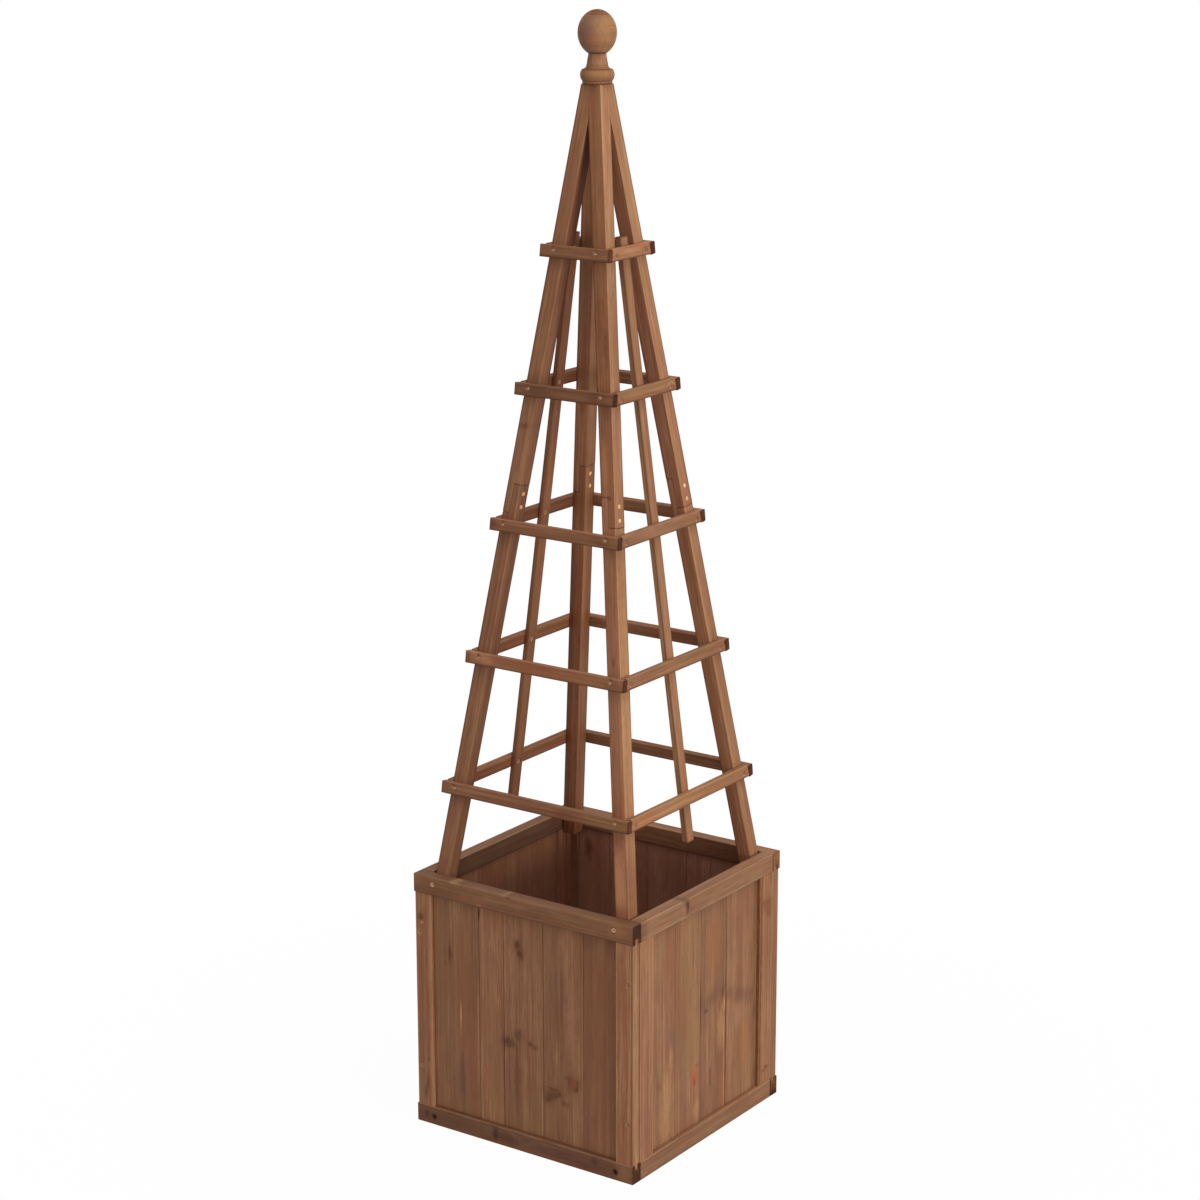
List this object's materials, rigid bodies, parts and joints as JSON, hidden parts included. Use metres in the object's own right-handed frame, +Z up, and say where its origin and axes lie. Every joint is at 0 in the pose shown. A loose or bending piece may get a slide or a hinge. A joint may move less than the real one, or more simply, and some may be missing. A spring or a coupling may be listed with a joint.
{
  "type": "planter with trellis",
  "caption": "Square wooden planter box of framed tongue-and-groove panels with a tall pyramid trellis of leaning legs and cross battens, topped by a turned ball finial.",
  "frame": {"origin": "centre of the square base, on the ground", "axes": "+Z up along the trellis axis to the finial; -Y is the front panel, +X the right panel"},
  "size_m": [0.38, 0.38, 1.5909],
  "materials": {
    "face_wood": "stained softwood, worn",
    "side_wood": "stained softwood, worn",
    "board_wood": "stained softwood, knots",
    "floor_wood": "stained softwood, rough",
    "leg_wood": "stained softwood, fine grain",
    "batten_wood": "stained softwood, fine grain",
    "finial_wood": "stained softwood, turned",
    "dowel_wood": "bare softwood end grain",
    "batten_screw_steel": "zinc plated, yellow",
    "box_screw_steel": "dark, sunk in shadow",
    "screw_steel": "zinc plated"
  },
  "bodies": {
    "root": {"front_top_rail": "face_wood", "front_bottom_rail": "face_wood", "front_left_stile": "face_wood", "front_right_stile": "face_wood", "front_boards": "board_wood", "back_top_rail": "face_wood", "back_bottom_rail": "face_wood", "back_left_stile": "face_wood", "back_right_stile": "face_wood", "back_boards": "board_wood", "left_top_rail": "side_wood", "left_bottom_rail": "side_wood", "left_left_stile": "side_wood", "left_right_stile": "side_wood", "left_boards": "board_wood", "right_top_rail": "side_wood", "right_bottom_rail": "side_wood", "right_left_stile": "side_wood", "right_right_stile": "side_wood", "right_boards": "board_wood", "left_cleat": "floor_wood", "right_cleat": "floor_wood", "floor_slats": "floor_wood", "lower_leg_front_left": "leg_wood", "upper_leg_front_left": "leg_wood", "lower_leg_front_right": "leg_wood", "upper_leg_front_right": "leg_wood", "lower_leg_back_left": "leg_wood", "upper_leg_back_left": "leg_wood", "lower_leg_back_right": "leg_wood", "upper_leg_back_right": "leg_wood", "front_batten_1": "batten_wood", "front_batten_2": "batten_wood", "front_batten_3": "batten_wood", "front_batten_4": "batten_wood", "front_batten_5": "batten_wood", "back_batten_1": "batten_wood", "back_batten_2": "batten_wood", "back_batten_3": "batten_wood", "back_batten_4": "batten_wood", "back_batten_5": "batten_wood", "left_batten_1": "batten_wood", "left_batten_2": "batten_wood", "left_batten_3": "batten_wood", "left_batten_4": "batten_wood", "left_batten_5": "batten_wood", "right_batten_1": "batten_wood", "right_batten_2": "batten_wood", "right_batten_3": "batten_wood", "right_batten_4": "batten_wood", "right_batten_5": "batten_wood", "left_middle_slat": "batten_wood", "right_middle_slat": "batten_wood", "finial": "finial_wood", "finial_screw": "screw_steel", "splice_dowels": "dowel_wood", "batten_screws": "batten_screw_steel", "slat_screws": "screw_steel", "box_screws": "box_screw_steel"}
  },
  "joints": []
}
